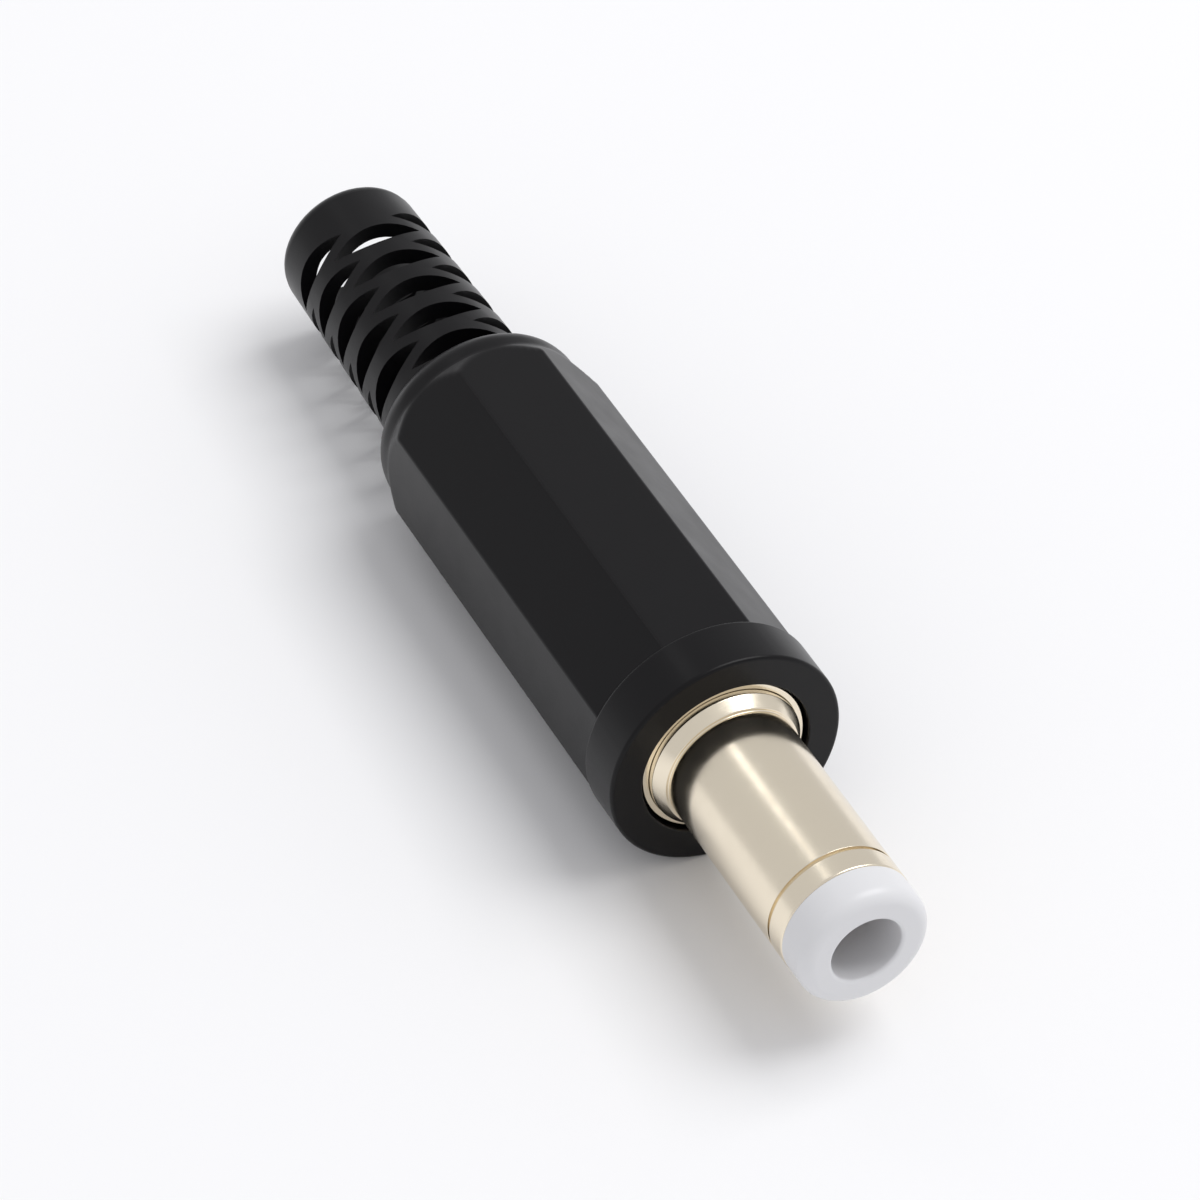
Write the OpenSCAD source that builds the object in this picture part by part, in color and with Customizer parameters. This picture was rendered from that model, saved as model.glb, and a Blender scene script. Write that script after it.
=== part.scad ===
// Screw-together coaxial power plug with a slotted strain relief.
// +X runs along the plug's axis towards its tip and +Z is up. The origin is
// on the axis, in the plane of the cover's front face.

/* [Barrel sleeve] */
// Outside diameter of the barrel
barrel_d = 5.5; // [5.2:0.05:6]
// Length of bare metal in front of the cover's face
barrel_len = 9.75; // [8:0.25:13]
// Wall of the barrel in front of its shoulder
barrel_wall = 0.35; // [0.3:0.05:0.4]
// Thickness of the shoulder at the barrel's root
shoulder_t = 0.6; // [0.5:0.05:0.8]
// Wall of the tail behind the shoulder
tail_wall = 0.25; // [0.2:0.05:0.35]
// Height of the rim that is rolled over behind the earth lug
rolled_rim_lip = 0.25; // [0.15:0.05:0.3]
// Thickness of the rolled rim
rolled_rim_t = 0.25; // [0.2:0.05:0.4]
// Distance from the barrel's open end back to the middle of its groove
groove_setback = 1.05; // [0.8:0.05:1.6]
// Width of the groove
groove_w = 0.16; // [0.1:0.02:0.3]
// Depth of the groove
groove_depth = 0.16; // [0.16:0.01:0.2]

/* [Nose insulator] */
// Length of the nose in front of the barrel
nose_len = 1.65; // [1.2:0.05:2.5]
// Step from the barrel's outside down to the nose
nose_step = 0.025; // [0.01:0.005:0.1]
// Radius of the nose's outer edge
nose_edge_r = 0.55; // [0.2:0.05:0.7]
// Diameter of the mouth that takes the pin
mouth_d = 2.95; // [2.8:0.05:3]
// Length of the mouth, from the nose's face to the contact
mouth_len = 3; // [2:0.25:4]
// Width of the bevel round the mouth
mouth_bevel = 0.15; // [0.05:0.05:0.3]

/* [Centre contact] */
// Bore of the contact, the diameter of the pin that it takes
pin_d = 2.5; // [2.1:0.05:2.6]
// Wall of the contact tube
contact_wall = 0.25; // [0.2:0.05:0.35]
// Depth of the contact's bore
pin_depth = 9; // [7:0.5:10]
// Thickness of the contact's closed end
contact_end_t = 0.9; // [0.5:0.1:1.5]
// Width of the slits between the contact's fingers
slit_w = 0.3; // [0.2:0.05:0.4]
// Length of the slits
slit_len = 4.5; // [3:0.5:6]
// Diameter of the rivet shank behind the contact
shank_d = 1.8; // [1.4:0.1:2]
// Diameter of the rivet's head
rivet_d = 2.8; // [2.4:0.1:3]
// Height of the rivet's head
rivet_h = 0.45; // [0.3:0.05:0.7]

/* [Threaded bush] */
// Crest diameter of the thread
thread_d = 6.4; // [6.2:0.05:6.6]
// Length of the bush behind its flange
bush_len = 8; // [6:0.25:9]
// Step from the thread's crest up to the flange's edge
flange_lip = 0.275; // [0.2:0.025:0.35]
// Thickness of the flange
flange_t = 0.7; // [0.6:0.05:1]
// Width of the flange's face that shows round the barrel's shoulder
flange_face_w = 0.255; // [0.15:0.005:0.3]
// Distance of the flange's front behind the cover's face
flange_setback = 0.25; // [0.15:0.05:0.4]

/* [Lugs and washer] */
// Thickness of the lugs' sheet
sheet_t = 0.4; // [0.3:0.05:0.45]
// Width of the earth lug's strip
earth_strip_w = 2.8; // [2:0.1:3.4]
// Length of the cable clamp
clamp_len = 3.6; // [2.5:0.1:4]
// Width of the gap between the clamp's wings
clamp_gap = 3.6; // [3:0.1:4.4]
// Diameter of the lugs' solder holes
solder_hole_d = 1.1; // [0.7:0.1:1.3]
// Thickness of the insulating washer
washer_t = 0.6; // [0.4:0.05:1]
// Diameter of the centre lug's ring
centre_lug_d = 3.8; // [3.4:0.1:4.2]
// Width of the centre lug's tab
centre_tab_w = 1.9; // [1.7:0.1:2.2]
// Length of the centre lug's tab
centre_tab_len = 4.2; // [3:0.1:5]
// Inside radius of the centre lug's bend
bend_r = 0.25; // [0.1:0.05:0.4]

/* [Cover] */
// Diameter of the round collar at the front
collar_d = 9.9; // [9.8:0.05:10.6]
// Length of the collar
collar_len = 2.3; // [1.5:0.1:3.5]
// Radius of the collar's edges
collar_edge_r = 0.15; // [0.05:0.05:0.3]
// Step from the collar down to the corners of the eight-sided grip
corner_step = 0.06; // [0.02:0.02:0.3]
// Length of the cover from its front face to the strain relief
grip_len = 22.9; // [21.9:0.1:26]
// Radius of the round edge behind the grip
grip_end_r = 1.15; // [0.8:0.05:1.2]
// Length of the plain round part between that edge and the corners
grip_neck_len = 0.4; // [0.2:0.05:0.8]
// Length over which the grip's corners rise
corner_rise_len = 1; // [0.5:0.1:1.5]
// Length of the threaded bore behind the bush
thread_runout = 1.1; // [0.5:0.1:2]
// Step from the threaded bore down to the wiring chamber
chamber_step = 0.05; // [0.02:0.01:0.1]
// Wall between the wiring chamber and the back of the grip
chamber_end_wall = 2.4; // [1.6:0.1:2.6]
// Length of the chamber's tapered end
chamber_taper_len = 1.6; // [1:0.1:2]

/* [Strain relief] */
// Diameter of the strain relief where it meets the grip
relief_front_d = 6.7; // [6.4:0.05:6.9]
// Its diameter at the cable end
relief_rear_d = 6.2; // [6:0.05:6.4]
// Radius of the edge round the cable end
relief_edge_r = 0.75; // [0.3:0.05:0.8]
// Diameter of the cable bore
cable_bore_d = 4.5; // [4:0.1:4.6]
// Step from the cable bore out to the wider bore inside the slots
slot_bore_step = 0.2; // [0.16:0.01:0.24]
// Length of that wider bore behind the last slots
slot_bore_run = 0.25; // [0.15:0.05:0.5]
// Width of the bevel round the cable bore
cable_bevel = 0.25; // [0.1:0.05:0.3]
// Number of rings of slots
slot_rings = 10; // [4:1:14]
// Number of slots in each ring
slots_per_ring = 3; // [2:1:3]
// Distance from one ring of slots to the next
slot_pitch = 0.99; // [0.95:0.01:1.1]
// Greatest width of a slot, along the axis
slot_h = 1.1; // [0.8:0.05:1.2]
// Angle that a slot spans on the outside
slot_angle = 77; // [60:1:80]
// Plain length between the grip and the nearest slots
plain_root_len = 0.32; // [0.2:0.02:1]
// Plain length between the last slots and the cable end
plain_end_len = 2.25; // [1.5:0.05:4]
// Angle of the first slot from the top of the plug
slot_phase = 7; // [0:1:60]

/* [Clearances] */
// Radial play between the thread and its bore
thread_play = 0.05; // [0.02:0.01:0.08]
// Radial play round the flange
flange_play = 0.12; // [0.08:0.02:0.2]
// Radial gap between pieces that are pressed together
press_gap = 0.02; // [0.01:0.01:0.04]
// Radial play of the earth lug in the wiring chamber
lug_play = 0.15; // [0.1:0.01:0.2]
// Radial play of the rolled rim inside the earth lug's strip
rim_play = 0.1; // [0.05:0.01:0.2]
// Radial play of the insulating washer inside the earth lug's strip
washer_play = 0.15; // [0.1:0.01:0.3]
// Gap between the cable clamp and the chamber's tapered end
clamp_end_gap = 0.3; // [0.2:0.05:1]

/* [Hidden] */

round_fn = 128;
hole_fn = 64;
// How far a cutting shape runs past the face it opens
over = 0.5;

// Radii, from the axis
barrel_r = barrel_d / 2;
barrel_bore_r = barrel_r - barrel_wall;
contact_r = pin_d / 2 + contact_wall;
thread_r = thread_d / 2;
flange_r = thread_r + flange_lip;
shoulder_r = flange_r - flange_face_w - press_gap;
thread_bore_r = thread_r + thread_play;
chamber_r = thread_bore_r - chamber_step;
earth_lug_r = chamber_r - lug_play;
earth_strip_r = earth_lug_r - sheet_t;
rolled_rim_r = earth_strip_r - rim_play;
tail_r = rolled_rim_r - rolled_rim_lip;
tail_bore_r = tail_r - tail_wall;
washer_r = earth_strip_r - washer_play;
collar_r = collar_d / 2;
grip_corner_r = collar_r - corner_step;
grip_r = grip_corner_r * cos(180 / 8);
cable_bore_r = cable_bore_d / 2;
slot_bore_r = cable_bore_r + slot_bore_step;
relief_front_r = relief_front_d / 2;
relief_rear_r = relief_rear_d / 2;

// Stations along the axis, from the tip to the cable end
nose_x = barrel_len + nose_len;
contact_x = nose_x - mouth_len;
contact_end_x = contact_x - pin_depth - contact_end_t;
flange_x = -flange_setback;
seat_x = flange_x - flange_t;
bush_end_x = seat_x - bush_len;
rim_x = bush_end_x - sheet_t;
washer_x = rim_x - rolled_rim_t;
centre_lug_x = washer_x - washer_t;
rivet_x = centre_lug_x - sheet_t;
thread_bore_end_x = bush_end_x - thread_runout;
chamber_end_x = -grip_len + chamber_end_wall;
taper_x = chamber_end_x + chamber_taper_len;
clamp_end_x = taper_x + clamp_end_gap;
clamp_x = clamp_end_x + clamp_len;
relief_len = plain_root_len + slot_h + (slot_rings - 1) * slot_pitch + plain_end_len;
relief_end_x = -grip_len - relief_len;
slot_bore_end_x = relief_end_x + plain_end_len - slot_bore_run;

// Lays a revolved profile, drawn as [radius, station], along the axis
module turned() {
    rotate([0, 90, 0]) rotate_extrude($fn = round_fn) children();
}

// Part of a profile: from one station to another, between two radii
module band(from_x, to_x, inner_r, outer_r) {
    translate([inner_r, from_x]) square([outer_r - inner_r, to_x - from_x]);
}

// Round bar or hole along the axis
module bar(from_x, to_x, r, fn = round_fn) {
    translate([from_x, 0, 0]) rotate([0, 90, 0]) cylinder(r = r, h = to_x - from_x, $fn = fn);
}

// What is cut from a profile's corner to round it. The corner is at the
// origin and its piece lies towards -radius; side is the way to the piece.
module corner_waste(r, side) {
    difference() {
        translate([-r, side > 0 ? -over : -r]) square([r + over, r + over]);
        translate([-r, side * r]) circle(r = r, $fn = hole_fn);
    }
}

// ---- Cover: grip, collar and strain relief, moulded in one piece ----

// Round envelope of the grip. Its end is a disc as wide as the flats, from
// which the eight corners rise on a cone.
module grip_envelope() {
    rise_x = -grip_len + grip_end_r + grip_neck_len;
    band(-grip_len + grip_end_r, 0, 0, grip_r);
    band(-grip_len, 0, 0, grip_r - grip_end_r);
    translate([grip_r - grip_end_r, -grip_len + grip_end_r]) circle(r = grip_end_r, $fn = hole_fn);
    polygon([[0, rise_x], [grip_r, rise_x], [collar_r, rise_x + corner_rise_len], [collar_r, 0], [0, 0]]);
}

module grip() {
    intersection() {
        turned() grip_envelope();
        translate([-grip_len, 0, 0]) rotate([0, 90, 0]) rotate([0, 0, 180 / 8])
            cylinder(r = grip_corner_r, h = grip_len, $fn = 8);
    }
}

module collar() {
    turned() difference() {
        band(-collar_len, 0, 0, collar_r);
        translate([collar_r, 0]) corner_waste(collar_edge_r, -1);
        translate([collar_r, -collar_len]) corner_waste(collar_edge_r, 1);
    }
}

// Outside radius of the strain relief at a station
function relief_r(x) = relief_rear_r
    + (relief_front_r - relief_rear_r) * (x - relief_end_x) / relief_len;

module relief_tube() {
    turned() difference() {
        polygon([[0, relief_end_x], [relief_rear_r, relief_end_x],
                 [relief_front_r, -grip_len], [relief_front_r, -grip_len + grip_end_r],
                 [0, -grip_len + grip_end_r]]);
        translate([relief_rear_r, relief_end_x]) corner_waste(relief_edge_r, 1);
    }
}

// One slot, cut straight in from above: a lens between two arcs whose tips
// meet the outside at plus and minus half the slot's angle
module slot(x) {
    half_w = relief_r(x) * sin(slot_angle / 2);
    arc_r = (half_w * half_w + slot_h * slot_h / 4) / slot_h;
    translate([x, 0, 0]) linear_extrude(height = relief_front_r + over) intersection() {
        translate([arc_r - slot_h / 2, 0]) circle(r = arc_r, $fn = round_fn);
        translate([slot_h / 2 - arc_r, 0]) circle(r = arc_r, $fn = round_fn);
    }
}

// Rings of slots, each turned half a slot's spacing from its neighbours
module slots() {
    step = 360 / slots_per_ring;
    for (ring = [0 : slot_rings - 1], i = [0 : slots_per_ring - 1])
        rotate([slot_phase + i * step + (ring % 2) * step / 2, 0, 0])
            slot(-grip_len - plain_root_len - slot_h / 2 - ring * slot_pitch);
}

// Flange seat, threaded bore, wiring chamber and cable bore
module cover_bores() {
    bar(seat_x, over, flange_r + flange_play);
    bar(thread_bore_end_x, seat_x + over, thread_bore_r);
    bar(taper_x, thread_bore_end_x + over, chamber_r);
    turned() polygon([[0, taper_x + over], [chamber_r, taper_x + over], [chamber_r, taper_x],
                      [slot_bore_r, chamber_end_x], [0, chamber_end_x]]);
    bar(slot_bore_end_x, chamber_end_x + over, slot_bore_r);
    bar(relief_end_x - over, slot_bore_end_x + over, cable_bore_r);
    turned() polygon([[0, relief_end_x - over], [cable_bore_r + cable_bevel + over, relief_end_x - over],
                      [cable_bore_r, relief_end_x + cable_bevel], [0, relief_end_x + cable_bevel]]);
}

module cover() {
    color("#232326") difference() {
        union() {
            grip();
            collar();
            relief_tube();
        }
        cover_bores();
        slots();
    }
}

// ---- Insert: everything that unscrews from the cover ----

// Bush whose thread holds the cover; the thread is a plain cylinder here
module threaded_bush() {
    color("#c9c2b4") turned() difference() {
        union() {
            band(seat_x, flange_x, 0, flange_r);
            band(bush_end_x, seat_x, 0, thread_r);
        }
        band(bush_end_x - over, flange_x + over, 0, tail_r + press_gap);
        band(-shoulder_t, flange_x + over, 0, shoulder_r + press_gap);
    }
}

// Barrel with its root shoulder in front and its rolled rim behind, which
// hold the bush and the earth lug between them
module barrel_sleeve() {
    color("#cfc8ba") turned() difference() {
        union() {
            band(0, barrel_len, 0, barrel_r);
            band(-shoulder_t, 0, 0, shoulder_r);
            band(washer_x, 0, 0, tail_r);
            band(washer_x, rim_x, 0, rolled_rim_r);
        }
        band(washer_x - over, barrel_len + over, 0, tail_bore_r);
        band(0, barrel_len + over, 0, barrel_bore_r);
        translate([barrel_r - groove_depth, barrel_len - groove_setback - groove_w / 2])
            square([groove_depth + over, groove_w]);
    }
}

module nose_insulator() {
    nose_r = barrel_r - nose_step;
    color("#f4f3f0") turned() difference() {
        union() {
            band(barrel_len, nose_x, 0, nose_r);
            band(0, barrel_len, 0, barrel_bore_r - press_gap);
            band(washer_x, 0, 0, tail_bore_r - press_gap);
        }
        translate([nose_r, nose_x]) corner_waste(nose_edge_r, -1);
        band(washer_x - over, contact_x, 0, shank_d / 2 + press_gap);
        band(contact_end_x, contact_x, 0, contact_r + press_gap);
        band(contact_x - over, nose_x + over, 0, mouth_d / 2);
        polygon([[0, nose_x - mouth_bevel], [mouth_d / 2, nose_x - mouth_bevel],
                 [mouth_d / 2 + mouth_bevel + over, nose_x + over], [0, nose_x + over]]);
    }
}

// Sprung tube that takes the pin, with a rivet shank at its closed end
module centre_contact() {
    color("#c8a862") difference() {
        turned() difference() {
            union() {
                band(contact_end_x, contact_x, 0, contact_r);
                band(rivet_x - rivet_h, contact_end_x, 0, shank_d / 2);
                band(rivet_x - rivet_h, rivet_x, 0, rivet_d / 2);
            }
            band(contact_x - pin_depth, contact_x + over, 0, pin_d / 2);
        }
        for (turn = [45, 135])
            rotate([turn, 0, 0]) translate([contact_x - slit_len, -slit_w / 2, -contact_r - over])
                cube([slit_len + over, slit_w, 2 * (contact_r + over)]);
    }
}

// Ring behind the bush, a curved strip along the chamber's floor and a cable
// clamp with two open wings
module earth_lug() {
    color("#c4bdb0") difference() {
        union() {
            bar(rim_x, bush_end_x, earth_lug_r);
            intersection() {
                bar(clamp_x, bush_end_x, earth_lug_r);
                translate([clamp_x, -earth_strip_w / 2, -earth_lug_r - over])
                    cube([bush_end_x - clamp_x, earth_strip_w, earth_lug_r + over]);
            }
            difference() {
                bar(clamp_end_x, clamp_x, earth_lug_r);
                translate([clamp_end_x - over, -clamp_gap / 2, 0])
                    cube([clamp_len + 2 * over, clamp_gap, earth_lug_r + over]);
            }
        }
        bar(clamp_end_x - over, rim_x, earth_strip_r);
        bar(rim_x - over, bush_end_x + over, tail_r + press_gap);
        translate([(rim_x + clamp_x) / 2, 0, -earth_lug_r - over])
            cylinder(d = solder_hole_d, h = earth_lug_r, $fn = hole_fn);
    }
}

module insulating_washer() {
    color("#6b4a2c") turned() band(centre_lug_x, washer_x, shank_d / 2 + press_gap, washer_r);
}

// Ring under the rivet's head and a tab bent back from its upper edge
module centre_lug() {
    tab_z = centre_lug_d / 2 + bend_r;
    tab_end_x = rivet_x - centre_tab_len;
    color("#cfc8ba") difference() {
        union() {
            bar(rivet_x, centre_lug_x, centre_lug_d / 2);
            translate([rivet_x, -centre_tab_w / 2, 0]) cube([sheet_t, centre_tab_w, centre_lug_d / 2]);
            // The bend: a quarter ring seen from the side
            translate([rivet_x - bend_r, 0, centre_lug_d / 2]) intersection() {
                difference() {
                    rotate([90, 0, 0])
                        cylinder(r = bend_r + sheet_t, h = centre_tab_w, center = true, $fn = hole_fn);
                    rotate([90, 0, 0])
                        cylinder(r = bend_r, h = centre_tab_w + over, center = true, $fn = hole_fn);
                }
                translate([0, -centre_tab_w / 2, 0]) cube([bend_r + sheet_t, centre_tab_w, bend_r + sheet_t]);
            }
            translate([tab_end_x + centre_tab_w / 2, -centre_tab_w / 2, tab_z])
                cube([rivet_x - bend_r - tab_end_x - centre_tab_w / 2, centre_tab_w, sheet_t]);
            translate([tab_end_x + centre_tab_w / 2, 0, tab_z])
                cylinder(d = centre_tab_w, h = sheet_t, $fn = hole_fn);
        }
        bar(rivet_x - over, centre_lug_x + over, shank_d / 2 + press_gap);
        translate([tab_end_x + centre_tab_w / 2, 0, tab_z - over])
            cylinder(d = solder_hole_d, h = sheet_t + 2 * over, $fn = hole_fn);
    }
}

cover();
threaded_bush();
barrel_sleeve();
nose_insulator();
centre_contact();
earth_lug();
insulating_washer();
centre_lug();
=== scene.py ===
"""Dresses a screw-together coaxial power plug and sets it on a pale floor.

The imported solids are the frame. The visible pieces are built round it in
metres, with sizes given in millimetres and turned to metres once, and each
rides on the body that carries it.
"""

import logging
import math
from dataclasses import dataclass
from enum import Enum

import bpy
import numpy as np
from mathutils import Matrix, Vector


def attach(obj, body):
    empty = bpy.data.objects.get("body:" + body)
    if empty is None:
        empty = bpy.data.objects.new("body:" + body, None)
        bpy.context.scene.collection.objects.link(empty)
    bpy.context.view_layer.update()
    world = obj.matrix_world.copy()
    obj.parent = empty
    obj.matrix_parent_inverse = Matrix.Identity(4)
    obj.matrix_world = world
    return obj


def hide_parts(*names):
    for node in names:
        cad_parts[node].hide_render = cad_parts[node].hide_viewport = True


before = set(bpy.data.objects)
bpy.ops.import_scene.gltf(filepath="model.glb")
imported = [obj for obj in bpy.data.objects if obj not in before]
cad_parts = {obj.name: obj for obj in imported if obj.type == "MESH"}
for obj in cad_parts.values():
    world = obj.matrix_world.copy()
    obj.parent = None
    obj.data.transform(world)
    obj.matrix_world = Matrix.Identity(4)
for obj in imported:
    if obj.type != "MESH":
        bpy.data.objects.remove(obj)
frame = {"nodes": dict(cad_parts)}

LOG = logging.getLogger("plug")
MM = 0.001
SIDE_ANGLE = 2 * math.pi / 8
CREASE_DEG = 30.0
ROUND_COLUMNS = 144
BARREL_COLUMNS = 192
WELD_DIGITS = 7
NOISE_LOW, NOISE_HIGH = 0.3, 0.7
MOTTLE_DETAIL, GRAIN_DETAIL = 3.0, 2.0


class Body(Enum):
    """Bodies of the frame that a piece can ride on."""

    COVER = "cover"
    INSERT = "insert"


class Slot(Enum):
    """Material slots of the record."""

    COVER_PLASTIC = "cover_plastic"
    NICKEL = "nickel_plate"
    WHITE_PLASTIC = "white_plastic"
    BRASS = "contact_brass"
    TIN = "tin_plate"
    FIBRE = "brown_fibre"


# ---------------------------------------------------------------- surfaces


def ring_angles(columns: int) -> np.ndarray:
    """Evenly spaced angles round the axis.

    Args:
        columns: How many angles.

    Returns:
        The angles in radians, from +Y towards +Z.
    """
    return np.arange(columns) * (2 * math.pi / columns)


def sweep(stations: np.ndarray, radii: np.ndarray, angles: np.ndarray) -> np.ndarray:
    """Points of a surface round the X axis.

    Args:
        stations: Place of each row along the axis, in millimetres.
        radii: Radius of each row, or of each row at each angle, in millimetres.
        angles: The angles of the columns, in radians.

    Returns:
        The points in metres, row after row.
    """
    if radii.ndim == 1:
        radii = radii[:, None]
    radii = np.broadcast_to(radii, (len(stations), len(angles)))
    along = np.broadcast_to(stations[:, None], radii.shape)
    points = np.stack([along, radii * np.cos(angles), radii * np.sin(angles)], axis=-1)
    return points.reshape(-1, 3) * MM


def quads(rows: int, columns: int, closed: bool) -> np.ndarray:
    """Quads of a grid whose columns close on themselves.

    Args:
        rows: Number of rows.
        columns: Number of points in a row.
        closed: Whether the last row also joins the first.

    Returns:
        One row of four point numbers for each quad.
    """
    bands = np.arange(rows if closed else rows - 1)
    row, column = np.meshgrid(bands, np.arange(columns), indexing="ij")
    after = (row + 1) % rows
    beside = (column + 1) % columns
    corners = [(row, column), (row, beside), (after, beside), (after, column)]
    numbers = [along * columns + around for along, around in corners]
    return np.stack(numbers, axis=-1).reshape(-1, 4)


def triangles(faces: np.ndarray) -> np.ndarray:
    """Splits quads into triangles.

    Args:
        faces: Quads, four point numbers each.

    Returns:
        Two triangles for each quad.
    """
    return np.concatenate([faces[:, [0, 1, 2]], faces[:, [0, 2, 3]]])


def outward(points: np.ndarray, faces: np.ndarray) -> np.ndarray:
    """Turns the faces of a closed surface so that they look outward.

    Six times the volume inside is the sum, over the triangles, of each
    corner dotted with the cross product of the next two. It is negative if
    the faces look inward.

    Args:
        points: The points.
        faces: Quads or triangles.

    Returns:
        The faces, reversed if they looked inward.
    """
    split = triangles(faces) if faces.shape[1] == 4 else faces
    a, b, c = (points[split[:, k]] for k in range(3))
    volume = np.einsum("ij,ij->", a, np.cross(b, c))
    return faces if volume > 0 else faces[:, ::-1]


def mesh_object(
    name: str, points: np.ndarray, faces: np.ndarray, crease_deg: float = CREASE_DEG
) -> bpy.types.Object:
    """Makes a smooth-shaded object and links it to the scene.

    Args:
        name: Name of the object and its mesh.
        points: The points in metres.
        faces: Faces with the same number of corners each.
        crease_deg: Edges that turn by more than this stay sharp.

    Returns:
        The object, at the origin.
    """
    mesh = bpy.data.meshes.new(name)
    mesh.vertices.add(len(points))
    mesh.vertices.foreach_set("co", points.astype(np.float32).ravel())
    mesh.loops.add(faces.size)
    mesh.loops.foreach_set("vertex_index", faces.astype(np.int32).ravel())
    mesh.polygons.add(len(faces))
    starts = np.arange(0, faces.size, faces.shape[1], dtype=np.int32)
    mesh.polygons.foreach_set("loop_start", starts)
    mesh.update(calc_edges=True)
    mesh.validate()
    mesh.shade_smooth()
    mesh.set_sharp_from_angle(angle=math.radians(crease_deg))
    made = bpy.data.objects.new(name, mesh)
    bpy.context.scene.collection.objects.link(made)
    return made


def rounded_profile(
    corners: list[tuple[float, float, float]], steps: int = 6, support: float = 0.02
) -> np.ndarray:
    """Closed profile with rounded corners.

    A corner's arc starts and ends at its radius divided by the tangent of
    half the corner's angle, measured from the corner along each side. A
    supporting point just past each end keeps the sides flat in shading.

    Args:
        corners: Station, radius and rounding of each corner, in millimetres.
        steps: Segments in each arc.
        support: Distance of the supporting points from the arcs.

    Returns:
        One row of station and radius for each point.
    """
    places = np.array([corner[:2] for corner in corners])
    path = []
    for number, (_, _, rounding) in enumerate(corners):
        here = places[number]
        back = places[number - 1] - here
        on = places[(number + 1) % len(places)] - here
        back, on = back / np.linalg.norm(back), on / np.linalg.norm(on)
        if rounding == 0:
            path.append(here[None])
            continue
        half = 0.5 * math.acos(float(np.clip(back @ on, -1, 1)))
        reach = rounding / math.tan(half)
        middle = (back + on) / np.linalg.norm(back + on)
        centre = here + middle * rounding / math.sin(half)
        first, last = here + back * reach - centre, here + on * reach - centre
        start = math.atan2(first[1], first[0])
        turn = (math.atan2(last[1], last[0]) - start + math.pi) % (2 * math.pi) - math.pi
        angle = start + turn * np.linspace(0, 1, steps + 1)
        arc = centre + rounding * np.stack([np.cos(angle), np.sin(angle)], axis=-1)
        before, after = here + back * (reach + support), here + on * (reach + support)
        path += [before[None], arc, after[None]]
    return np.concatenate(path)


def lathe(name: str, profile: np.ndarray, columns: int = ROUND_COLUMNS) -> bpy.types.Object:
    """Turns a closed profile round the X axis.

    Args:
        name: Name of the object.
        profile: One row of station and radius for each point, in millimetres.
        columns: Points round the axis.

    Returns:
        The object.
    """
    points = sweep(profile[:, 0], profile[:, 1], ring_angles(columns))
    faces = outward(points, quads(len(profile), columns, closed=True))
    return mesh_object(name, points, faces)


def install(made: bpy.types.Object, body: Body, slot: Slot, *nodes: str) -> None:
    """Puts a piece on its body, in the place of the solids it stands for.

    Args:
        made: The piece.
        body: The body that carries it.
        slot: Not used.
        *nodes: The nodes of the frame it replaces.
    """
    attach(made, body.value)
    if nodes:
        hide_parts(*nodes)
    LOG.info("built %s: %d faces, on %s", made.name, len(made.data.polygons), body.value)


# ---------------------------------------------------------------- finishes


def linear(hex_colour: str) -> tuple[float, float, float, float]:
    """Linear colour of an sRGB hex colour.

    Args:
        hex_colour: Six hex digits after a hash sign.

    Returns:
        Red, green, blue and an alpha of one.
    """
    shown = np.array([int(hex_colour[k : k + 2], 16) / 255 for k in (1, 3, 5)])
    red, green, blue = np.where(shown <= 0.04045, shown / 12.92, ((shown + 0.055) / 1.055) ** 2.4)
    return float(red), float(green), float(blue), 1.0


def add_node(
    tree: bpy.types.NodeTree, kind: str, inputs: dict | None = None, **options
) -> bpy.types.Node:
    """Adds a node, sets its options and fills its inputs.

    Args:
        tree: The node tree.
        kind: Blender's name of the node type.
        inputs: Value or feeding socket for each input, by name or number.
        **options: Properties of the node.

    Returns:
        The node.
    """
    node = tree.nodes.new(kind)
    for option, value in options.items():
        setattr(node, option, value)
    for place, value in (inputs or {}).items():
        if isinstance(value, bpy.types.NodeSocket):
            tree.links.new(value, node.inputs[place])
        else:
            node.inputs[place].default_value = value
    return node


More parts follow.
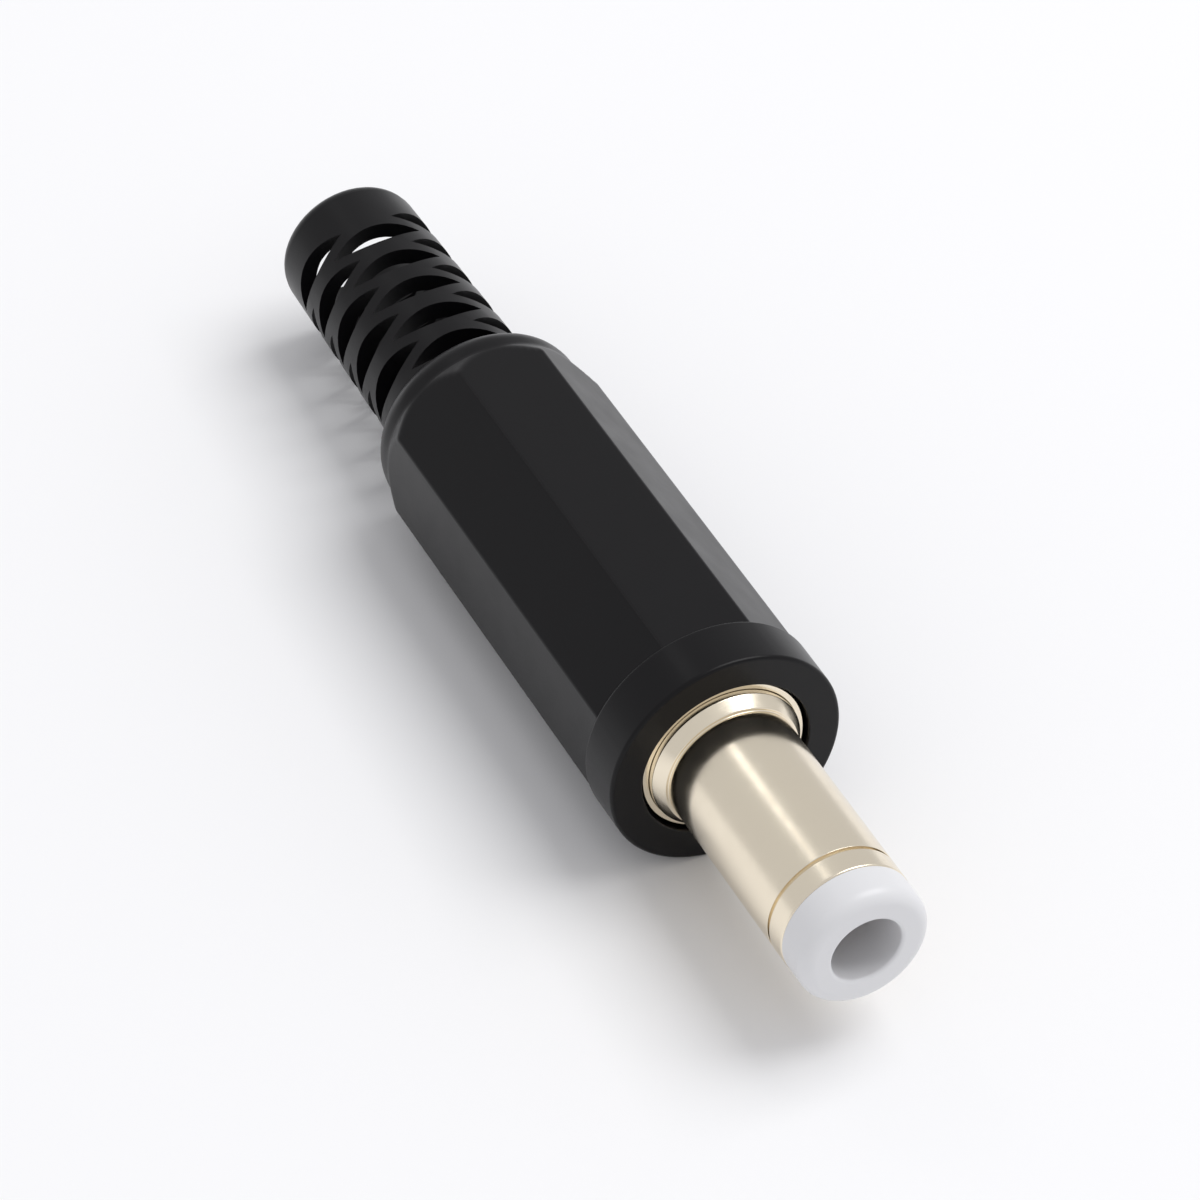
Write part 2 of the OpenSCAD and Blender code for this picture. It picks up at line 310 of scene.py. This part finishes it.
@dataclass(frozen=True)
class Finish:
    """A surface finish. Lengths are in millimetres.

    grain is the width of the finest marks and relief their height. mottle is
    the width of the soft patches over which the roughness changes by patch.
    """

    name: str
    colour: str
    roughness: float
    metallic: float = 0.0
    specular: float = 0.5
    grain: float = 0.15
    relief: float = 0.003
    mottle: float = 1.5
    patch: float = 0.05

    def grain_vector(
        self, tree: bpy.types.NodeTree, place: bpy.types.NodeSocket
    ) -> bpy.types.NodeSocket:
        """The coordinates that the grain is laid in.

        Args:
            tree: The material's node tree.
            place: Object coordinates.

        Returns:
            The socket that carries them.
        """
        return place

    def lay(self, tree: bpy.types.NodeTree) -> dict:
        """The shader's inputs for the way that the surface's marks lie.

        Args:
            tree: The material's node tree.

        Returns:
            The value or socket of each such input, none if the marks lie anyhow.
        """
        return {}

    def material(self) -> bpy.types.Material:
        """Makes the material.

        Returns:
            The material.
        """
        made = bpy.data.materials.new(self.name)
        made.use_nodes = True
        tree = made.node_tree
        tree.nodes.clear()
        place = add_node(tree, "ShaderNodeTexCoord").outputs["Object"]
        soft = add_node(
            tree,
            "ShaderNodeTexNoise",
            {"Vector": place, "Scale": 1 / (self.mottle * MM), "Detail": MOTTLE_DETAIL},
        )
        rough = add_node(
            tree,
            "ShaderNodeMapRange",
            {
                "Value": soft.outputs["Fac"],
                "From Min": NOISE_LOW,
                "From Max": NOISE_HIGH,
                "To Min": self.roughness - self.patch,
                "To Max": self.roughness + self.patch,
            },
        )
        fine = add_node(
            tree,
            "ShaderNodeTexNoise",
            {
                "Vector": self.grain_vector(tree, place),
                "Scale": 1 / (self.grain * MM),
                "Detail": GRAIN_DETAIL,
            },
        )
        bump = add_node(
            tree,
            "ShaderNodeBump",
            {"Height": fine.outputs["Fac"], "Strength": 1.0, "Distance": self.relief * MM},
        )
        shader = add_node(
            tree,
            "ShaderNodeBsdfPrincipled",
            {
                "Base Color": linear(self.colour),
                "Metallic": self.metallic,
                "Specular IOR Level": self.specular,
                "Roughness": rough.outputs["Result"],
                "Normal": bump.outputs["Normal"],
                **self.lay(tree),
            },
        )
        add_node(tree, "ShaderNodeOutputMaterial", {"Surface": shader.outputs["BSDF"]})
        return made


@dataclass(frozen=True)
class TurnedMetal(Finish):
    """A metal with the fine rings that turning leaves.

    The rings follow the place along the axis and the distance from it, so
    they run round a shaft and are concentric on its faces. The marks stretch
    by draw along each ring.
    """

    metallic: float = 1.0
    draw: float = 40.0
    stretch: float = 0.8

    def grain_vector(
        self, tree: bpy.types.NodeTree, place: bpy.types.NodeSocket
    ) -> bpy.types.NodeSocket:
        """Coordinates along the axis, outward from it and, stretched, round it.

        Args:
            tree: The material's node tree.
            place: Object coordinates.

        Returns:
            The socket that carries them.
        """
        parts = add_node(tree, "ShaderNodeSeparateXYZ", {"Vector": place})
        across = add_node(
            tree, "ShaderNodeVectorMath", {0: place, 1: (0.0, 1.0, 1.0)}, operation="MULTIPLY"
        )
        out = add_node(
            tree, "ShaderNodeVectorMath", {0: across.outputs["Vector"]}, operation="LENGTH"
        )
        round_it = add_node(
            tree, "ShaderNodeMath", {0: parts.outputs["Y"], 1: 1 / self.draw}, operation="MULTIPLY"
        )
        joined = add_node(
            tree,
            "ShaderNodeCombineXYZ",
            {"X": parts.outputs["X"], "Y": out.outputs["Value"], "Z": round_it.outputs["Value"]},
        )
        return joined.outputs["Vector"]

    def lay(self, tree: bpy.types.NodeTree) -> dict:
        """Spreads the shine round the axis and keeps it narrow along it.

        Args:
            tree: The material's node tree.

        Returns:
            The shader's anisotropy and its direction.
        """
        round_axis = add_node(tree, "ShaderNodeTangent", direction_type="RADIAL", axis="X")
        return {"Anisotropic": self.stretch, "Tangent": round_axis.outputs["Tangent"]}


FINISHES: dict[Slot, Finish] = {
    Slot.COVER_PLASTIC: Finish(
        "black_moulded_plastic", "#0c0b0d", 0.32, specular=0.2, grain=0.12, relief=0.0015, patch=0.02
    ),
    Slot.NICKEL: TurnedMetal(
        "bright_nickel_plate", "#f2e7d2", 0.19, grain=0.06, relief=0.0005, mottle=0.6, patch=0.03
    ),
    Slot.WHITE_PLASTIC: Finish("white_moulded_plastic", "#dfdfe1", 0.34, grain=0.2, relief=0.001),
    Slot.BRASS: TurnedMetal("turned_brass", "#cfa95c", 0.22, grain=0.05, relief=0.001),
    Slot.TIN: Finish(
        "dull_tin_plate", "#bcbab4", 0.38, metallic=1.0, grain=0.3, relief=0.002, patch=0.08
    ),
    Slot.FIBRE: Finish("brown_fibre_board", "#6b4528", 0.75, grain=0.08, relief=0.006),
}


# ---------------------------------------------------------------- pieces


@dataclass(frozen=True)
class ThreadForm:
    """A screw thread, in millimetres.

    Its height over one turn is a ramp up, a crest, a ramp down and a root.
    """

    pitch: float = 0.75
    depth: float = 0.28
    flank: float = 3.0
    crest: float = 0.25
    rows_per_turn: int = 12

    def stations(self, start: float, end: float) -> np.ndarray:
        """Rows that are close enough to draw the thread.

        Args:
            start: Where the thread starts.
            end: Where it ends.

        Returns:
            The stations of the rows.
        """
        rows = int(abs(end - start) / self.pitch * self.rows_per_turn) + 2
        return np.linspace(start, end, rows)

    def cut(self, stations: np.ndarray, angles: np.ndarray, start: float, end: float) -> np.ndarray:
        """Depth below the crest at each station and angle.

        The place within a turn is the fraction of the station divided by the
        pitch, plus the angle divided by a whole turn. The share of the depth
        is flank times the distance from the middle of the crest, less crest,
        kept between nothing and one. It fades over one turn at both ends.

        Args:
            stations: Stations of the rows.
            angles: Angles of the columns.
            start: Where the thread starts.
            end: Where it ends.

        Returns:
            One depth for each row and column.
        """
        turn = stations[:, None] / self.pitch + angles[None, :] / (2 * math.pi)
        from_crest = np.abs((turn % 1.0) - 0.5)
        shape = np.clip(self.flank * from_crest - self.crest, 0, 1)
        near_end = np.minimum(np.abs(stations - start), np.abs(end - stations))
        return self.depth * shape * np.clip(near_end / self.pitch, 0, 1)[:, None]


THREAD = ThreadForm()


@dataclass
class Cover:
    """The black cover: collar, eight-sided grip and slotted strain relief."""

    collar_r: float = 4.95
    collar_len: float = 2.3
    collar_edge: float = 0.15
    flats_r: float = 4.89 * math.cos(SIDE_ANGLE / 2)
    corner_edge: float = 0.22
    blend: float = 0.08
    sliver: float = 0.002
    grip_len: float = 22.9
    end_edge: float = 1.15
    neck_len: float = 0.4
    rise_len: float = 1.0
    relief_r: float = 3.35
    seat_r: float = 3.595
    seat_x: float = -0.95
    seat_edge: float = 0.06
    thread_r: float = 3.25
    thread_end_x: float = -10.05
    chamber_r: float = 3.2
    taper_x: float = -18.9
    chamber_end_x: float = -20.5
    slot_bore_r: float = 2.45
    relief_gap: float = 0.02
    crease_deg: float = 32.0
    flat_points: int = 15
    corner_points: int = 8
    dome_rows: int = 18
    neck_rows: int = 4
    rise_rows: int = 14
    flat_rows: int = 12

    def columns(self) -> np.ndarray:
        """Angles of the columns, close together at the grip's corners.

        Returns:
            The angles in radians.
        """
        flat = self.flat_half_angle()
        sector = np.concatenate(
            [
                np.linspace(-flat, flat, self.flat_points)[:-1],
                np.linspace(flat, SIDE_ANGLE - flat, self.corner_points)[:-1],
            ]
        )
        return np.concatenate([sector + SIDE_ANGLE * side for side in range(8)])

    def flat_half_angle(self) -> float:
        """Angle from the middle of a flat to where its corner's rounding starts.

        The flat part is half as wide as the flats' radius less the rounding,
        times the tangent of half a side's angle.

        Returns:
            The angle in radians.
        """
        half_width = (self.flats_r - self.corner_edge) * math.tan(SIDE_ANGLE / 2)
        return math.atan2(half_width, self.flats_r)

    def octagon(self, angles: np.ndarray) -> np.ndarray:
        """Radius of the eight-sided outline with rounded corners.

        On a flat it is the flat's distance divided by the cosine of the angle
        from its middle. At a corner it is where the ray leaves the rounding
        circle: the centre's distance times the cosine of the angle from the
        corner, plus the root of the rounding squared less the square of that
        distance times the sine.

        Args:
            angles: Angles in radians.

        Returns:
            The radius at each angle.
        """
        half = SIDE_ANGLE / 2
        from_flat = (angles + half) % SIDE_ANGLE - half
        from_corner = half - np.abs(from_flat)
        centre = (self.flats_r - self.corner_edge) / math.cos(half)
        under = np.clip(self.corner_edge**2 - (centre * np.sin(from_corner)) ** 2, 0, None)
        corner = centre * np.cos(from_corner) + np.sqrt(under)
        flat = self.flats_r / np.cos(from_flat)
        return np.where(np.abs(from_flat) <= self.flat_half_angle(), flat, corner)

    def soft_minimum(self, a: np.ndarray, b: np.ndarray) -> np.ndarray:
        """The lesser of two radii, with a soft change from one to the other.

        Args:
            a: The first radii.
            b: The second radii.

        Returns:
            The lesser, lowered by up to a quarter of the blend where they meet.
        """
        share = np.clip(0.5 + 0.5 * (b - a) / self.blend, 0, 1)
        return b * (1 - share) + a * share - self.blend * share * (1 - share)

    def outside(self) -> tuple[np.ndarray, np.ndarray]:
        """Rows of the grip's outside, from the strain relief to the collar.

        Returns:
            The stations and the radius of the round envelope at each.
        """
        edge_x = -self.grip_len + self.end_edge
        rise_x = edge_x + self.neck_len
        turn = np.linspace(0, math.pi / 2, self.dome_rows)
        dome_x = edge_x - self.end_edge * np.cos(turn)
        dome = np.stack([dome_x, self.flats_r - self.end_edge * (1 - np.sin(turn))])
        neck_x = np.linspace(edge_x, rise_x, self.neck_rows)[1:]
        neck = np.stack([neck_x, np.full(len(neck_x), self.flats_r)])
        share = np.linspace(0, 1, self.rise_rows)[1:]
        rise_r = self.flats_r + share * (self.collar_r - self.flats_r)
        rise = np.stack([rise_x + share * self.rise_len, rise_r])
        flats_x = np.linspace(rise_x + self.rise_len, -self.collar_len, self.flat_rows)[1:]
        flats = np.stack([flats_x, np.full(len(flats_x), self.collar_r)])
        root = [[-self.grip_len], [self.relief_r]]
        return tuple(np.concatenate([root, dome, neck, rise, flats], axis=1))

    def front(self) -> np.ndarray:
        """Rows from the collar's rear edge round its front into the flange seat.

        Returns:
            One row of station and radius for each point.
        """
        path = rounded_profile(
            [
                (-self.collar_len, self.flats_r, 0.0),
                (-self.collar_len, self.collar_r, self.collar_edge),
                (0.0, self.collar_r, self.collar_edge),
                (0.0, self.seat_r, self.seat_edge),
                (self.seat_x, self.seat_r, 0.0),
                (self.seat_x, self.thread_r, 0.0),
            ]
        )
        return path[1:]

    def grip(self) -> tuple[np.ndarray, np.ndarray]:
        """Surface of the grip and collar, outside and in.

        Where the collar's rear rows lie inside the grip's corners, each is
        lifted one sliver further over them, so that no row crosses another.

        Returns:
            The points and the quads.
        """
        angles = self.columns()
        stations, envelope = self.outside()
        octagon = self.octagon(angles)[None, :]
        radii = self.soft_minimum(octagon, envelope[:, None])
        radii[0] = self.relief_r
        front = self.front()
        at_rear = front[:, :1] < -self.collar_len / 2
        lift = np.arange(1, len(front) + 1)[:, None] * self.sliver
        collar = np.maximum(front[:, 1:], np.where(at_rear, octagon + lift, 0.0))
        threads = THREAD.stations(self.seat_x, self.thread_end_x)
        threaded = self.thread_r + THREAD.cut(threads, angles, self.seat_x, self.thread_end_x)
        inside = np.array(
            [
                (self.thread_end_x, self.chamber_r),
                (self.taper_x, self.chamber_r),
                (self.chamber_end_x, self.slot_bore_r),
            ]
        )
        bores = inside[:, 1:] * np.ones(len(angles))
        rows = np.concatenate([stations, front[:, 0], threads, inside[:, 0]])
        points = sweep(rows, np.concatenate([radii, collar, threaded, bores]), angles)
        return points, quads(len(rows), len(angles), closed=False)

    def relief(self) -> tuple[np.ndarray, np.ndarray]:
        """The slotted strain relief, taken from the frame's own solid.

        Returns:
            Its welded points and its triangles.
        """
        mesh = frame["nodes"]["cover"].data
        mesh.calc_loop_triangles()
        points = np.empty(len(mesh.vertices) * 3)
        mesh.vertices.foreach_get("co", points)
        corners = np.empty(len(mesh.loop_triangles) * 3, dtype=np.int32)
        mesh.loop_triangles.foreach_get("vertices", corners)
        rounded = np.round(points.reshape(-1, 3), WELD_DIGITS)
        welded, number = np.unique(rounded, axis=0, return_inverse=True)
        faces = number.ravel()[corners].reshape(-1, 3)
        behind = welded[faces][:, :, 0].min(axis=1) < (-self.grip_len - self.relief_gap) * MM
        whole = (faces != faces[:, [1, 2, 0]]).all(axis=1)
        kept = faces[behind & whole]
        used, kept = np.unique(kept, return_inverse=True)
        return welded[used], kept.reshape(-1, 3)

    def build(self) -> bpy.types.Object:
        """Makes the cover as one moulding.

        Returns:
            The object.
        """
        grip_points, grip_faces = self.grip()
        relief_points, relief_faces = self.relief()
        points = np.concatenate([grip_points, relief_points])
        faces = np.concatenate([triangles(grip_faces), relief_faces + len(grip_points)])
        made = mesh_object("cover_moulding", points, faces, self.crease_deg)
        install(made, Body.COVER, Slot.COVER_PLASTIC, "cover")
        return made


@dataclass
class Bush:
    """The threaded bush with the flange that shows round the barrel's root."""

    thread_r: float = 3.2
    flange_r: float = 3.475
    flange_x: float = -0.25
    seat_x: float = -0.95
    end_x: float = -8.95
    bore_r: float = 2.32
    recess_r: float = 3.22
    recess_x: float = -0.6
    edge: float = 0.05

    def build(self) -> bpy.types.Object:
        """Makes the bush with its thread cut into it.

        Returns:
            The object.
        """
        angles = ring_angles(ROUND_COLUMNS)
        threads = THREAD.stations(self.seat_x, self.end_x)
        threaded = self.thread_r - THREAD.cut(threads, angles, self.seat_x, self.end_x)
        rest = rounded_profile(
            [
                (self.end_x, self.thread_r, 0.0),
                (self.end_x, self.bore_r, 0.0),
                (self.recess_x, self.bore_r, 0.0),
                (self.recess_x, self.recess_r, 0.0),
                (self.flange_x, self.recess_r, self.edge / 2),
                (self.flange_x, self.flange_r, self.edge),
                (self.seat_x, self.flange_r, self.edge),
                (self.seat_x, self.thread_r, 0.0),
            ]
        )[1:-1]
        stations = np.concatenate([threads, rest[:, 0]])
        radii = np.concatenate([threaded, rest[:, 1:] * np.ones(len(angles))])
        points = sweep(stations, radii, angles)
        faces = outward(points, quads(len(stations), len(angles), closed=True))
        made = mesh_object("bush_turning", points, faces)
        install(made, Body.INSERT, Slot.NICKEL, "threaded_bush")
        return made


@dataclass
class Barrel:
    """The plated barrel sleeve with its root shoulder and rolled rear rim."""

    barrel_r: float = 2.75
    barrel_len: float = 9.75
    bore_r: float = 2.40
    shoulder_r: float = 3.2
    shoulder_x: float = -0.6
    tail_r: float = 2.3
    tail_bore_r: float = 2.05
    rim_r: float = 2.55
    rim_x: float = -9.35
    end_x: float = -9.6
    cone_len: float = 0.5
    cone_r: float = 2.87
    edge: float = 0.08
    groove_x: float = 8.7
    groove_w: float = 0.16
    groove_depth: float = 0.16

    def build(self) -> bpy.types.Object:
        """Makes the barrel.

        Returns:
            The object.
        """
        groove = self.groove_w / 2
        floor_r = self.barrel_r - self.groove_depth
        profile = rounded_profile(
            [
                (self.shoulder_x, self.tail_r, 0.0),
                (self.shoulder_x, self.shoulder_r, self.edge / 2),
                (0.0, self.shoulder_r, self.edge / 2),
                (self.cone_len, self.cone_r, self.edge / 2),
                (self.cone_len, self.barrel_r, self.edge / 2),
                (self.groove_x - groove, self.barrel_r, self.edge / 4),
                (self.groove_x - groove, floor_r, 0.0),
                (self.groove_x + groove, floor_r, 0.0),
                (self.groove_x + groove, self.barrel_r, self.edge / 4),
                (self.barrel_len, self.barrel_r, self.edge),
                (self.barrel_len, self.bore_r, 0.0),
                (0.0, self.bore_r, 0.0),
                (0.0, self.tail_bore_r, 0.0),
                (self.end_x, self.tail_bore_r, self.edge),
                (self.end_x, self.rim_r, self.edge),
                (self.rim_x, self.rim_r, self.edge),
                (self.rim_x, self.tail_r, 0.0),
            ]
        )
        made = lathe("barrel_turning", profile, columns=BARREL_COLUMNS)
        install(made, Body.INSERT, Slot.NICKEL, "barrel_sleeve")
        return made


@dataclass
class Nose:
    """The white insulator: the nose, its mouth and the tube inside the barrel."""

    nose_r: float = 2.725
    nose_edge: float = 0.55
    rear_edge: float = 0.03
    barrel_len: float = 9.75
    tip_x: float = 11.4
    mouth_r: float = 1.475
    mouth_edge: float = 0.15
    contact_x: float = 8.4
    contact_end_x: float = -1.5
    contact_r: float = 1.52
    shank_r: float = 0.92
    end_x: float = -9.6
    sleeve_r: float = 2.38
    tail_r: float = 2.03
    arc_steps: int = 10

    def build(self) -> bpy.types.Object:
        """Makes the insulator.

        Returns:
            The object.
        """
        profile = rounded_profile(
            [
                (self.barrel_len, self.sleeve_r, 0.0),
                (self.barrel_len, self.nose_r, self.rear_edge),
                (self.tip_x, self.nose_r, self.nose_edge),
                (self.tip_x, self.mouth_r, self.mouth_edge),
                (self.contact_x, self.mouth_r, 0.0),
                (self.contact_x, self.contact_r, 0.0),
                (self.contact_end_x, self.contact_r, 0.0),
                (self.contact_end_x, self.shank_r, 0.0),
                (self.end_x, self.shank_r, 0.0),
                (self.end_x, self.tail_r, 0.0),
                (0.0, self.tail_r, 0.0),
                (0.0, self.sleeve_r, 0.0),
            ],
            steps=self.arc_steps,
        )
        made = lathe("insulator_moulding", profile)
        install(made, Body.INSERT, Slot.WHITE_PLASTIC, "nose_insulator")
        return made


@dataclass
class Plug:
    """The whole plug, built piece by piece and then dressed."""

    def build(self) -> dict[Slot, list[bpy.types.Object]]:
        """Builds every piece.

        Returns:
            The objects that take each material slot.
        """
        nodes = frame["nodes"]
        return {
            Slot.COVER_PLASTIC: [Cover().build()],
            Slot.NICKEL: [Bush().build(), Barrel().build()],
            Slot.WHITE_PLASTIC: [Nose().build()],
            Slot.BRASS: [nodes["centre_contact"]],
            Slot.TIN: [nodes["earth_lug"], nodes["centre_lug"]],
            Slot.FIBRE: [nodes["insulating_washer"]],
        }

    def dress(self, pieces: dict[Slot, list[bpy.types.Object]]) -> None:
        """Gives each piece its finish.

        Args:
            pieces: The objects that take each material slot.
        """
        for slot, objects in pieces.items():
            material = FINISHES[slot].material()
            for piece in objects:
                piece.data.materials.clear()
                piece.data.materials.append(material)


# ---------------------------------------------------------------- studio


@dataclass(frozen=True)
class Lamp:
    """A square soft lamp that faces the plug."""

    name: str
    towards: tuple[float, float, float]
    width: float
    power: float

    def hang(self, distance: float) -> None:
        """Hangs the lamp on its side of the plug.

        Args:
            distance: How far from the plug, in metres.
        """
        data = bpy.data.lights.new(self.name, "AREA")
        data.shape, data.size, data.energy = "SQUARE", self.width, self.power
        made = bpy.data.objects.new(self.name, data)
        away = Vector(self.towards).normalized()
        turned = away.to_track_quat("Z", "Y").to_matrix().to_4x4()
        made.matrix_world = Matrix.Translation(away * distance) @ turned
        bpy.context.scene.collection.objects.link(made)


@dataclass
class Studio:
    """Floor, light and camera.

    The plug lies on the front of its collar and the rear edge of the grip's
    lowest flat, so the floor runs through both.
    """

    front_rest_mm: tuple[float, float] = (-0.15, -4.95)
    rear_rest_mm: tuple[float, float] = (-21.3, -4.52)
    floor_size: float = 4.0
    floor_colour: str = "#f6f6f7"
    floor_roughness: float = 0.9
    floor_specular: float = 0.2
    sky_colour: str = "#d2d2d4"
    lamps: tuple[Lamp, ...] = (
        Lamp("overhead_softbox", towards=(0.05, 0.45, 0.9), width=0.6, power=4.2),
        Lamp("rear_spark", towards=(-0.663, -0.145, 0.735), width=0.12, power=0.075),
    )
    lamp_distance: float = 0.9
    azimuth_deg: float = -61.44
    elevation_deg: float = 41.0
    roll_deg: float = -3.41
    aim_mm: tuple[float, float, float] = (-9.15, -0.95, 1.1)
    camera_distance_mm: float = 216.0
    lens_mm: float = 165.0
    sensor_mm: float = 36.0
    nearest: float = 0.01
    farthest: float = 10.0

    def lay_floor(self) -> None:
        """Lays the floor through the two places that the plug rests on."""
        (front_x, front_z), (rear_x, rear_z) = self.front_rest_mm, self.rear_rest_mm
        slope = (front_z - rear_z) / (front_x - rear_x)
        half = self.floor_size / 2
        across = np.array([(-half, -half), (half, -half), (half, half), (-half, half)])
        height = front_z * MM + slope * (across[:, 0] - front_x * MM)
        points = np.column_stack([across, height])
        floor = mesh_object("studio_floor", points, np.array([[0, 1, 2, 3]]))
        material = bpy.data.materials.new("pale_paper")
        material.use_nodes = True
        shader = material.node_tree.nodes["Principled BSDF"]
        shader.inputs["Base Color"].default_value = linear(self.floor_colour)
        shader.inputs["Roughness"].default_value = self.floor_roughness
        shader.inputs["Specular IOR Level"].default_value = self.floor_specular
        floor.data.materials.append(material)

    def light(self) -> None:
        """Sets the even sky and hangs the lamps."""
        world = bpy.data.worlds.new("studio_sky")
        world.use_nodes = True
        background = world.node_tree.nodes["Background"]
        background.inputs["Color"].default_value = linear(self.sky_colour)
        bpy.context.scene.world = world
        for lamp in self.lamps:
            lamp.hang(self.lamp_distance)

    def aim_camera(self) -> None:
        """Stands the camera at its angle.

        The camera looks along the sine and cosine of its azimuth, each times
        the cosine of its elevation, and down by the sine of the elevation.
        """
        turns = (self.azimuth_deg, self.elevation_deg, self.roll_deg)
        azimuth, elevation, roll = map(math.radians, turns)
        ahead = Vector(
            (
                math.sin(azimuth) * math.cos(elevation),
                math.cos(azimuth) * math.cos(elevation),
                -math.sin(elevation),
            )
        )
        level = Vector((math.cos(azimuth), -math.sin(azimuth), 0))
        down = -level.cross(ahead)
        right = math.cos(roll) * level + math.sin(roll) * down
        up = right.cross(ahead)
        turned = Matrix((right, up, -ahead)).transposed().to_4x4()
        lens = bpy.data.cameras.new("camera")
        lens.lens, lens.sensor_width = self.lens_mm, self.sensor_mm
        lens.clip_start, lens.clip_end = self.nearest, self.farthest
        camera = bpy.data.objects.new("camera", lens)
        place = (Vector(self.aim_mm) - ahead * self.camera_distance_mm) * MM
        camera.matrix_world = Matrix.Translation(place) @ turned
        bpy.context.scene.collection.objects.link(camera)
        bpy.context.scene.camera = camera

    def set_up(self) -> None:
        """Lays the floor, lights it and stands the camera."""
        self.lay_floor()
        self.light()
        self.aim_camera()
        bpy.context.scene.view_settings.view_transform = "Standard"


def main() -> None:
    """Builds the plug and its studio."""
    logging.basicConfig(level=logging.INFO, format="%(name)s: %(message)s")
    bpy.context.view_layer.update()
    plug = Plug()
    plug.dress(plug.build())
    Studio().set_up()
    bpy.context.view_layer.update()


if __name__ == "__main__":
    main()
